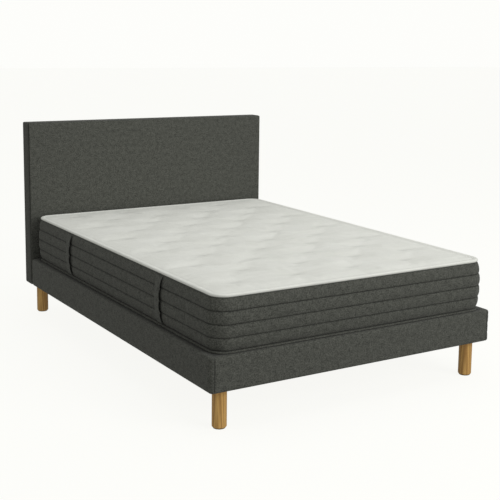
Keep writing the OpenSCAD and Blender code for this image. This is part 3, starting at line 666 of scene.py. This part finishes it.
class Cover:
    """The mattress cover as one sheet of quads: a quilted panel, then rings of points down the sides."""

    def __init__(self):
        middle = (MATTRESS_LO.y + MATTRESS_HI.y) / 2
        x, y = rounded_sheet(MATTRESS_HALF - PANEL_INSET, row_place(0), row_place(ROWS),
                             MATTRESS_CORNER - PANEL_INSET)
        z, held = self.quilt(x, y, middle)
        self.grid = np.arange(x.size).reshape(x.shape)
        self.edge = outline(COLUMNS, ROWS)
        self.at = {place: s for s, place in enumerate(self.edge)}
        rim_index = np.array([self.grid[place] for place in self.edge])
        points = [np.stack([x, y, z], -1).reshape(-1, 3)]
        rim = points[0][rim_index]
        straight = np.array([MATTRESS_HALF - MATTRESS_CORNER, MATTRESS_HI.y - middle - MATTRESS_CORNER])
        from_middle = rim[:, :2] - (0, middle)
        outward = from_middle - np.clip(from_middle, -straight, straight)
        outward /= np.linalg.norm(outward, axis=1, keepdims=True)
        held = held.ravel()
        held[rim_index] = True
        keep = [held]
        self.rings = [rim_index]
        self.seam = len(rolled_edge())
        count = len(rim)
        for out, level, fixed in [(*place, True) for place in rolled_edge()] + banded_side():
            ring = np.column_stack([rim[:, :2] + outward * (PANEL_INSET + out), np.full(count, level)])
            self.rings.append(np.arange(count) + sum(len(part) for part in points))
            points.append(ring)
            keep.append(np.full(count, fixed))
        self.points = np.concatenate(points)
        self.held = np.concatenate(keep)
        self.mark_painted_shade()
        steps = np.linalg.norm(np.roll(self.points[self.rings[self.seam]], -1, 0)
                               - self.points[self.rings[self.seam]], axis=1)
        self.along = np.concatenate([[0], np.cumsum(steps)])
        self.make_quads()

    def mark_painted_shade(self):
        """Painted shade: 1 along each sewn line and under the piping where the mattress sits down, a quarter
        beside the sewn lines, 0.3 in the rolled edge's crease, up to 0.6 at the tufts, and 0 elsewhere.
        """
        self.painted_shade_mark = np.zeros(len(self.points))
        # painted shade in the tufts' dimples
        self.painted_shade_mark[:self.grid.size] = 0.6 * self.tuft_painted_shade.ravel()
        # painted shade in the crease inside the rolled edge
        self.painted_shade_mark[self.rings[0]] = 0.3
        # painted contact shadow under the piping, where the mattress sits down
        for ring in self.rings[-3:]:
            self.painted_shade_mark[ring] = 1.0
        # painted shade along the sewn lines' grooves, a quarter as dark beside them
        lines = [self.seam] + [self.seam + len(BAND_STEPS) * (band + 1) for band in range(BANDS)]
        for line in lines:
            for ring, mark in ((line - 1, 0.25), (line + 1, 0.25), (line, 1.0)):
                self.painted_shade_mark[self.rings[ring]] = mark

    def quilt(self, x, y, middle):
        """Heights of the quilted panel, and which points its stitches hold."""
        dip = np.zeros_like(x)
        self.tuft_painted_shade = np.zeros_like(x)
        held = np.zeros(x.shape, bool)
        for tuft_x, tuft_y in tufts():
            stitch = np.exp(-((x - tuft_x) / 0.034) ** 2 - ((y - tuft_y) / 0.012) ** 2)
            hollow = np.exp(-((x - tuft_x) / 0.070) ** 2 - ((y - tuft_y) / 0.036) ** 2)
            dip = np.maximum(dip, STITCH_DIP * stitch + HOLLOW_DIP * hollow)
            # painted shade in each tuft's dimple, darkest at its stitch
            self.tuft_painted_shade = np.maximum(self.tuft_painted_shade, stitch)
            held |= (np.abs(x - tuft_x) < 0.020) & (np.abs(y - tuft_y) < ROW_STEP * 0.51)
        length = MATTRESS_HI.y - middle
        crown = 1 - np.maximum(np.abs(x) / MATTRESS_HALF, np.abs(y - middle) / length) ** 6
        return MATTRESS_HI.z - PANEL_DROP + CROWN * np.clip(crown, 0, 1) - dip, held

    def make_quads(self):
        """Quads of the panel and then of the sides, with each quad's row and its cloth map."""
        grid = self.grid
        panel = np.stack([grid[:-1, :-1], grid[:-1, 1:], grid[1:, 1:], grid[1:, :-1]], -1).reshape(-1, 4)
        self.quads = [tuple(quad) for quad in panel.tolist()]
        self.quad_row = [r for r in range(ROWS) for _ in range(COLUMNS)]
        self.quad_map = self.points[panel][..., :2].tolist()
        count = len(self.edge)
        depth = 0.0
        for level in range(len(self.rings) - 1):
            upper, lower = self.rings[level], self.rings[level + 1]
            if level == self.seam:
                self.first_border = len(self.quads)
            below = depth + float(np.linalg.norm(self.points[upper[0]] - self.points[lower[0]]))
            for s in range(count):
                t = (s + 1) % count
                self.quads.append((int(upper[s]), int(lower[s]), int(lower[t]), int(upper[t])))
                self.quad_row.append(min(self.edge[s][0], self.edge[t][0], ROWS - 1))
                u0, u1 = self.along[s], self.along[s + 1]
                self.quad_map.append([(u0, -depth), (u0, -below), (u1, -below), (u1, -depth)])
            depth = below

    def side(self, ring, row, column):
        return int(self.rings[ring][self.at[(row, column)]])


def mattress_shell(name, cover, border, first, last, slot):
    """One length of the cover as a closed mesh: its white top, or its border with the underside."""
    begin, end = (cover.first_border, len(cover.quads)) if border else (0, cover.first_border)
    chosen = [q for q in range(begin, end) if first <= cover.quad_row[q] < last]
    normals = quad_normals(cover.points, cover.quads[begin:end])
    points = list(cover.points)
    low = len(cover.rings) - 1 if border else cover.seam
    rungs = []
    for row in range(first, last + 1):
        left, right = cover.side(low, row, 0), cover.side(low, row, COLUMNS)
        rung = [left, right]
        if border:
            y, z = points[left][1], points[left][2]
            inner = min(DECK_SIDE, abs(points[left][0]) - 0.004)
            hollow = [(-inner, z), (-inner + 0.004, z + recess(y)),
                      (inner - 0.004, z + recess(y)), (inner, z)]
            points += [np.array([x, y, level]) for x, level in hollow]
            rung = [left, *range(len(points) - 4, len(points)), right]
        rungs.append(rung)
    closing = ladder(rungs)
    front = [cover.side(low, 0, c) for c in range(1, COLUMNS)]
    back = [cover.side(low, ROWS, c) for c in range(1, COLUMNS)]
    closing += end_faces(cover, border, low, rungs[0], first, front[::-1], False)
    closing += end_faces(cover, border, low, rungs[-1], last, back, True)
    if border:
        seams = [[cover.side(cover.seam, row, 0), cover.side(cover.seam, row, COLUMNS)]
                 for row in range(first, last + 1)]
        lid = ladder(seams)
        if first == 0:
            lid.append(seams[0] + [cover.side(cover.seam, 0, c) for c in range(COLUMNS - 1, 0, -1)])
        if last == ROWS:
            lid.append(seams[-1][::-1] + [cover.side(cover.seam, ROWS, c) for c in range(1, COLUMNS)])
        closing += [face[::-1] for face in lid]
    faces = [cover.quads[q] for q in chosen] + [tuple(face) for face in closing]
    used = sorted({i for face in faces for i in face})
    new = {old: i for i, old in enumerate(used)}
    piece = mesh_piece(name, [points[i] for i in used], [[new[i] for i in face] for face in faces], slot)
    corner_normals = [tuple(normals[i]) for q in chosen for i in cover.quads[q]]
    maps = [place for q in chosen for place in cover.quad_map[q]]
    for face in piece.data.polygons[len(chosen):]:
        corner_normals += [tuple(face.normal)] * face.loop_total
        maps += [tuple(piece.data.vertices[i].co[:2]) for i in face.vertices]
    write_cloth_map(piece, maps)
    piece.data.normals_split_custom_set(corner_normals)
    store_painted_shade(piece, [cover.painted_shade_mark[i] if i < len(cover.painted_shade_mark) else 0.0 for i in used])
    return piece


def ladder(rungs):
    """Faces that look down between successive rows of points."""
    return [(a[k], b[k], b[k + 1], a[k + 1]) for a, b in zip(rungs, rungs[1:]) for k in range(len(a) - 1)]


def end_faces(cover, border, low, rung, row, ring_end, at_head):
    """The face that closes a length: the cut through the mattress, or the rounded end of its underside."""
    if row in (0, ROWS):
        return [(rung[::-1] if at_head else rung) + ring_end]
    high = cover.seam if border else 0
    right = [cover.side(level, row, COLUMNS) for level in range(low - 1, high - 1, -1)]
    left = [cover.side(level, row, 0) for level in range(high, low)]
    across = [] if border else [int(i) for i in cover.grid[row, COLUMNS - 1:0:-1]]
    section = rung + right + across + left
    return [section[::-1] if at_head else section]


def make_mattress():
    """The quilted top and banded border, in three lengths cut at the deck's joints."""
    cover = Cover()
    cover.points = swell(cover.points, cover.quads, cover.held, pressure=0.7, slack=0.003, cap=0.007)
    cover.points[:, 1] = np.minimum(cover.points[:, 1], MATTRESS_HI.y + HEAD_CLEARANCE)
    lengths = (("foot", 0, THIGH_ROW, FOLD_KNEE, ("mattress_calf",)),
               ("seat", THIGH_ROW, SEAT_ROW, FOLD_THIGH, ("mattress_thigh", "mattress_fold_thigh")),
               ("back", SEAT_ROW, ROWS, FOLD_BACK, ("mattress_seat", "mattress_fold_back", "mattress_back")))
    for length, first, last, fold, nodes in lengths:
        for part, border, slot in (("top", False, "mattress_knit"), ("border", True, "mattress_border")):
            piece = mattress_shell(f"mattress_{part}_{length}", cover, border, first, last, slot)
            fold.apply(piece)
            if not border:
                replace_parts(piece, *nodes)


def carry_handles(name, node, fold):
    """A pair of upright strips sewn over the border; three stitches hold each one's free edge down."""
    lo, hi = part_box(node)
    down, across, thick = 56, 8, 0.0024
    top, bottom = BAND_TOP - 0.006, BAND_BOTTOM + 0.004
    points, faces, marks = [], [], []
    for side in (-1, 1):
        first = len(points)
        for layer in (thick, 0.0):
            for r in range(down + 1):
                share = r / down
                level = top + (bottom - top) * share
                free = abs(sin(pi * BANDS * share)) ** 0.4 * sin(pi * share) ** 0.4
                for c in range(across + 1):
                    toward = 1 - c / across
                    lift = 0.0018 + 0.0072 * free * toward ** 2.0 + 0.0012 * sin(pi * c / across)
                    edge = 0.0 if 0 < c < across and 0 < r < down else -0.35 * layer
                    bow = 0.004 * sin(pi * share) * toward
                    y = lo.y + (hi.y - lo.y) * c / across + bow
                    points.append((side * (MATTRESS_HALF + barrel(share) + lift + layer + edge), y, level))
                    # painted shade along each strip's free edge and on its underside, for the gap under it
                    marks.append(1.0 if c == 0 or layer == 0.0 else 0.0)
        width = across + 1
        under = first + (down + 1) * width
        for r in range(down):
            for c in range(across):
                a = r * width + c
                quad = [a, a + 1, a + width + 1, a + width]
                faces.append([first + i for i in (quad if side < 0 else quad[::-1])])
                faces.append([under + i for i in (quad[::-1] if side < 0 else quad)])
        rim = [r * width + c for r, c in outline(across, down)]
        for a, b in zip(rim, rim[1:] + rim[:1]):
            quad = [first + b, first + a, under + a, under + b]
            faces.append(quad if side < 0 else quad[::-1])
    piece = mesh_piece(name, points, faces, "mattress_border")
    map_cloth(piece)
    store_painted_shade(piece, marks)
    piece.modifiers.new("rounded", "SUBSURF").levels = 1
    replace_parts(piece, node)
    fold.apply(piece)


# ---- base and headboard covers


def side_steps(length, edge, step):
    """Distances along a side, close together by its ends."""
    count = round((length - 2 * edge[-1]) / step)
    middle = [edge[-1] + (length - 2 * edge[-1]) * i / count for i in range(1, count)]
    return list(edge) + middle + [length - place for place in reversed(edge)]


class Skin:
    """A closed fabric skin made of rings of points that all have the same count."""

    def __init__(self):
        self.points, self.held, self.marks, self.rings = [], [], [], []
        self.faces, self.maps = [], []

    def add(self, places, held, marks=0.0):
        first = len(self.points)
        self.points += [tuple(map(float, p)) for p in places]
        self.held += [held] * len(places) if isinstance(held, bool) else list(held)
        # marks: painted shade of each point, stored in the piece's seam attribute
        self.marks += [marks] * len(places) if isinstance(marks, float) else list(marks)
        self.rings.append(list(range(first, first + len(places))))

    def join(self, closed=False):
        """Quads between successive rings, mapped by the distance round and down them."""
        points = np.array(self.points)
        widest = points[self.rings[len(self.rings) // 2]]
        steps = np.linalg.norm(np.roll(widest, -1, 0) - widest, axis=1)
        along = np.concatenate([[0], np.cumsum(steps)])
        depth = 0.0
        rings = self.rings + self.rings[:1] if closed else self.rings
        for upper, lower in zip(rings, rings[1:]):
            below = depth + float(np.linalg.norm(points[upper] - points[lower], axis=1).min())
            for s, (a, b) in enumerate(zip(upper, upper[1:] + upper[:1])):
                c, d = lower[(s + 1) % len(lower)], lower[s]
                self.faces.append((a, d, c, b))
                self.maps.append([(along[s], -depth), (along[s], -below), (along[s + 1], -below),
                                  (along[s + 1], -depth)])
            depth = below

    def inflate(self, pressure, slack, cap):
        points = swell(np.array(self.points), self.faces, np.array(self.held), pressure, slack, cap)
        self.points = [tuple(p) for p in points]

    def piece(self, name, slot):
        made = mesh_piece(name, self.points, self.faces, slot)
        write_cloth_map(made, [place for face in self.maps for place in face])
        store_painted_shade(made, self.marks)
        return made


BESIDE_SEAM = (0.0015, 0.004, 0.008, 0.014, 0.024)
BASE_CORNER = 0.018
BASE_OPENING = (0.044, 0.027, 0.105)  # side edge, end edge, corner; its sides reach over the deck
BASE_HEM = (0.027, 0.027, 0.004)
BOARD_FACE = 0.0088
HEAD_ROLL = 0.0130                    # how deep the headboard's rounded front and back edges are
# Rings round the headboard's front and back edges: (inset, how far behind the front or before the back,
# painted shade), the shade darkest at the seam
FRONT_ROLL = ((0.0034, 0.0006, 0.0), (0.0024, 0.0018, 0.15), (0.0034, 0.0034, 0.6), (0.0054, 0.0046, 1.0),
              (0.0034, 0.0058, 0.7), (0.0014, 0.0082, 0.5), (0.0004, HEAD_ROLL, 0.35))
BACK_ROLL = ((0.0004, HEAD_ROLL, 0.35), (0.0014, 0.0082, 0.5), (0.0034, 0.0058, 0.7), (0.0054, 0.0046, 1.0),
             (0.0030, 0.0032, 0.45), (0.0030, 0.0012, 0.0), (0.0050, 0.0, 0.0))
# painted shade on the side boxing's rings, darker towards its front and back edges
SIDE_PAINTED_SHADE = (0.32, 0.24, 0.18, 0.16, 0.18, 0.24, 0.32)
BACK_RIM = 0.035                      # the fabric turned in round the headboard's back
BACK_RIM_T = 0.0019
PANEL_FACE = (0.0150, 0.0103)         # the padding's back: behind the front, and in from the outline


class BasePlan:
    """Places round the base, with their outward normals and their distances from the upright seams."""

    def __init__(self, lo, hi, corner):
        self.lo, self.hi = lo, hi
        self.places, self.normals, seams = [], [], []
        centres = ((hi.x - corner, lo.y + corner), (hi.x - corner, hi.y - corner),
                   (lo.x + corner, hi.y - corner), (lo.x + corner, lo.y + corner))
        turns = 8
        for k, (x, y) in enumerate(centres):
            for i in range(turns + 1):
                angle = radians(90 * (k - 1 + i / turns))
                normal = np.array([cos(angle), sin(angle)])
                if i == (0, turns, 0, turns)[k]:
                    seams.append(len(self.places))
                self.places.append(np.array([x, y]) + corner * normal)
                self.normals.append(normal)
            begin = self.places[-1]
            end = np.array(centres[(k + 1) % 4]) + corner * normal
            length = float(np.linalg.norm(end - begin))
            for place in side_steps(length, BESIDE_SEAM, 0.024):
                self.places.append(begin + (end - begin) * place / length)
                self.normals.append(normal)
        self.places, self.normals = np.array(self.places), np.array(self.normals)
        lengths = np.linalg.norm(np.roll(self.places, -1, 0) - self.places, axis=1)
        along = np.concatenate([[0], np.cumsum(lengths)])
        gaps = np.abs(along[:-1, None] - along[seams][None, :])
        self.from_seam = np.minimum(gaps, along[-1] - gaps).min(axis=1)

    def inset(self, depth):
        return self.places - self.normals * depth

    def opening(self, side, end, corner):
        """The opening's edge, square on to each place or fanned round its corners."""
        middle = (self.lo.y + self.hi.y) / 2
        half = np.array([self.hi.x - side, (self.hi.y - self.lo.y) / 2 - end])
        found = []
        for x, y in self.places:
            place = np.array([abs(x), abs(y - middle)])
            start = half - corner
            past = place - start
            if past.min() > 0:
                edge = start + corner * past / np.linalg.norm(past)
            else:
                edge = np.minimum(place, half)
            found.append((copysign(edge[0], x), middle + copysign(edge[1], y - middle)))
        return np.array(found)


def make_base_cover():
    """The fabric and its padding over the base's boards, open above for the deck and below."""
    lo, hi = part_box("base_cover")
    plan = BasePlan(lo, hi, BASE_CORNER)
    skin = Skin()
    seam = np.exp(-(plan.from_seam / 0.0019) ** 2)
    near = np.exp(-plan.from_seam / 0.016)

    def ring(flat, z, free=False, stitched=0.0, mark=0.0):
        held = [not free or gap < 0.003 for gap in plan.from_seam]
        pucker = 0.0006 * near * sin(2 * pi * z / 0.021) - 0.0014 * seam if stitched else 0 * seam
        flat = flat + plan.normals * pucker[:, None]
        # painted shade: seam * stitched darkens the upright corner seams' grooves, and mark adds painted
        # shade along the whole ring
        skin.add([(x, y, z) for x, y in flat], held, list(np.maximum(seam * stitched, mark)))

    opening = plan.opening(*BASE_OPENING)
    round_top, round_bottom, skin_t = 0.011, 0.010, 0.002
    ring(opening, hi.z - skin_t)
    ring(opening, hi.z - 0.0005)
    shoulder = plan.inset(round_top)
    # painted contact shadow on the base's top beside the mattress, darkest at the opening's edge
    for share, mark in ((0.0, 1.0), (0.12, 1.0), (0.5, 0.8), (0.88, 0.2)):
        ring(opening + (shoulder - opening) * share, hi.z, mark=mark)
    for turn in range(7):
        angle = radians(15 * turn)
        inset, drop = round_top * (1 - sin(angle)), round_top * (1 - cos(angle))
        ring(plan.inset(inset), hi.z - drop, stitched=turn / 6)
    top, bottom = hi.z - round_top, lo.z + round_bottom
    rows = 22
    for row in range(1, rows):
        ring(plan.inset(0.0), top + (bottom - top) * row / rows, free=True, stitched=1.0)
    # painted shade on the bottom rounding, darker towards the floor
    for turn in range(7):
        angle = radians(15 * turn)
        inset, rise = round_bottom * (1 - cos(angle)), round_bottom * (1 - sin(angle))
        ring(plan.inset(inset), lo.z + rise, stitched=1 - turn / 6, mark=0.09 * turn)
    hem = plan.opening(*BASE_HEM)
    ring(plan.inset(round_bottom) * 0.1 + hem * 0.9, lo.z)
    ring(hem, lo.z + 0.0003)
    ring(hem, lo.z + skin_t)
    ring(plan.inset(BOARD_FACE), lo.z + skin_t)
    ring(plan.inset(BOARD_FACE), hi.z - skin_t)
    skin.join(closed=True)
    skin.inflate(pressure=1.0, slack=0.004, cap=0.0018)
    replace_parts(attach(skin.piece("base_upholstery", "upholstery"), "root"), "base_cover", "base_padding")


def make_headboard_cover():
    """The headboard's boxed cover and padding: front panel, border and the turned-in back edge."""
    lo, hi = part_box("headboard_cover")
    corner, round_front = 0.007, 0.005
    beside = (0.0012, 0.0026, 0.0045, 0.009, 0.018, 0.034)
    half = hi.x - round_front
    xs = [-half] + [-half + step for step in side_steps(2 * half, beside, 0.036)] + [half]
    low, tall = lo.z + round_front, hi.z - lo.z - 2 * round_front
    zs = [low] + [low + step for step in side_steps(tall, beside, 0.036)] + [low + tall]
    across, up = len(xs) - 1, len(zs) - 1
    loop = [(i, j) for j, i in outline(across, up)]
    places, normals = [], []
    for i, j in loop:
        x, z = xs[i], zs[j]
        flat = np.array([x, z])
        gap_x, gap_z = half - abs(x), min(z - low, low + tall - z)
        side_x, side_z = copysign(1, x), (1 if z > (low + low + tall) / 2 else -1)
        if max(gap_x, gap_z) < corner:
            lean = 45 * (1 - max(gap_x, gap_z) / corner)
            angle = radians(lean if gap_x <= gap_z else 90 - lean)
            normal = np.array([side_x * cos(angle), side_z * sin(angle)])
            flat = np.array([side_x * (half - corner + round_front), 0.0])
            flat[1] = (hi.z if side_z > 0 else lo.z) - side_z * corner
            places.append(flat + corner * normal)
        else:
            normal = np.array([side_x, 0.0]) if gap_x < gap_z else np.array([0.0, side_z])
            places.append(flat + round_front * normal)
        normals.append(normal)
    places, normals = np.array(places), np.array(normals)
    skin = Skin()

    def ring(inset, y, held=True, mark=0.0):
        skin.add([(x, y, z) for x, z in places - normals * inset], held, mark)

    def grid(first, y, inset, free):
        """Points of a flat panel inside the ring that starts at first, numbered by column and row."""
        number = {place: first + n for n, place in enumerate(loop)}
        shrink = (half - inset + round_front) / half
        middle = low + tall / 2
        for j in range(1, up):
            for i in range(1, across):
                number[i, j] = len(skin.points)
                skin.points.append((xs[i] * shrink, y, middle + (zs[j] - middle) * shrink))
                skin.held.append(not free or zs[j] < BASE_TOP + 0.02)
                skin.marks.append(0.0)
        return number

    def fill(number, facing):
        for j in range(up):
            for i in range(across):
                cell = [(i, j), (i + 1, j), (i + 1, j + 1), (i, j + 1)][::facing]
                skin.faces.append(tuple(number[c] for c in cell))
                skin.maps.append([(xs[c[0]], zs[c[1]]) for c in cell])

    front = lo.y + 0.0008
    ring(round_front, front)
    # the rolls' third numbers and the side rings' numbers are painted shade, stored in the seam attribute
    for inset, behind, mark in FRONT_ROLL:
        ring(inset, front + behind, mark=mark)
    for row, mark in enumerate(SIDE_PAINTED_SHADE, 1):
        depth = (hi.y - HEAD_ROLL - front - HEAD_ROLL) * row / (len(SIDE_PAINTED_SHADE) + 1)
        ring(0.0, front + HEAD_ROLL + depth, held=False, mark=mark)
    for inset, before, mark in BACK_ROLL:
        ring(inset, hi.y - before, mark=mark)
    inner = places - normals * PANEL_FACE[1]
    side = hi.x - BACK_RIM
    edge = np.array([(copysign(side, x) if abs(x) > side else x,
                      min(max(z, lo.z + BACK_RIM), hi.z - BACK_RIM)) for x, z in places])
    for outline_places, y in ((edge, hi.y), (edge, hi.y - BACK_RIM_T), (inner, hi.y - BACK_RIM_T),
                              (inner, front + PANEL_FACE[0])):
        skin.add([(x, y, z) for x, z in outline_places], True)
    skin.join()
    last = skin.rings[-1][0]
    fill(grid(0, front, round_front, True), 1)
    fill(grid(last, front + PANEL_FACE[0], PANEL_FACE[1], False), -1)
    skin.inflate(pressure=1.0, slack=0.004, cap=0.0022)
    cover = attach(skin.piece("headboard_upholstery", "upholstery"), "root")
    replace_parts(cover, "headboard_cover", "headboard_padding")


# ---- legs


def make_leg(node):
    """A turned leg: a rounded foot, a plain stem and an eased upper edge."""
    lo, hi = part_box(node)
    x, y, r = (lo.x + hi.x) / 2, (lo.y + hi.y) / 2, (hi.x - lo.x) / 2
    foot, ease = 0.006, 0.0012
    profile = [(r * 0.35, lo.z), (r - foot - 0.001, lo.z)]
    for turn in range(9):
        angle = radians(90 * turn / 8)
        profile.append((r - foot + foot * sin(angle), lo.z + foot * (1 - cos(angle))))
    profile += [(r, lo.z + (hi.z - lo.z) * share) for share in (0.08, 0.3, 0.6, 0.9, 0.97)]
    profile += [(r, hi.z - ease), (r - 0.4 * ease, hi.z - 0.3 * ease), (r - ease, hi.z), (r * 0.35, hi.z)]
    sides = 72
    top = (len(profile) - 1) * sides
    points, faces = [(x, y, lo.z), (x, y, hi.z)], []
    for radius, z in profile:
        for s in range(sides):
            angle = 2 * pi * s / sides
            points.append((x + radius * cos(angle), y + radius * sin(angle), z))
    for ring in range(len(profile) - 1):
        for s in range(sides):
            a, b = 2 + ring * sides + s, 2 + ring * sides + (s + 1) % sides
            faces.append((a, b, b + sides, a + sides))
    for s in range(sides):
        a, b = 2 + s, 2 + (s + 1) % sides
        faces.append((0, b, a))
        faces.append((1, a + top, b + top))
    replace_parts(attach(mesh_piece(node + "_turned", points, faces, "leg_wood"), "root"), node)


# ---- put together

BASE_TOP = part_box("base_cover")[1].z
make_camera()
make_studio()
make_mattress()
carry_handles("carry_handles_back", "mattress_handles_back", FOLD_BACK)
carry_handles("carry_handles_foot", "mattress_handles_foot", FOLD_KNEE)
make_base_cover()
make_headboard_cover()
for name in ("leg_front_left", "leg_front_right", "leg_rear_left", "leg_rear_right"):
    make_leg(name)
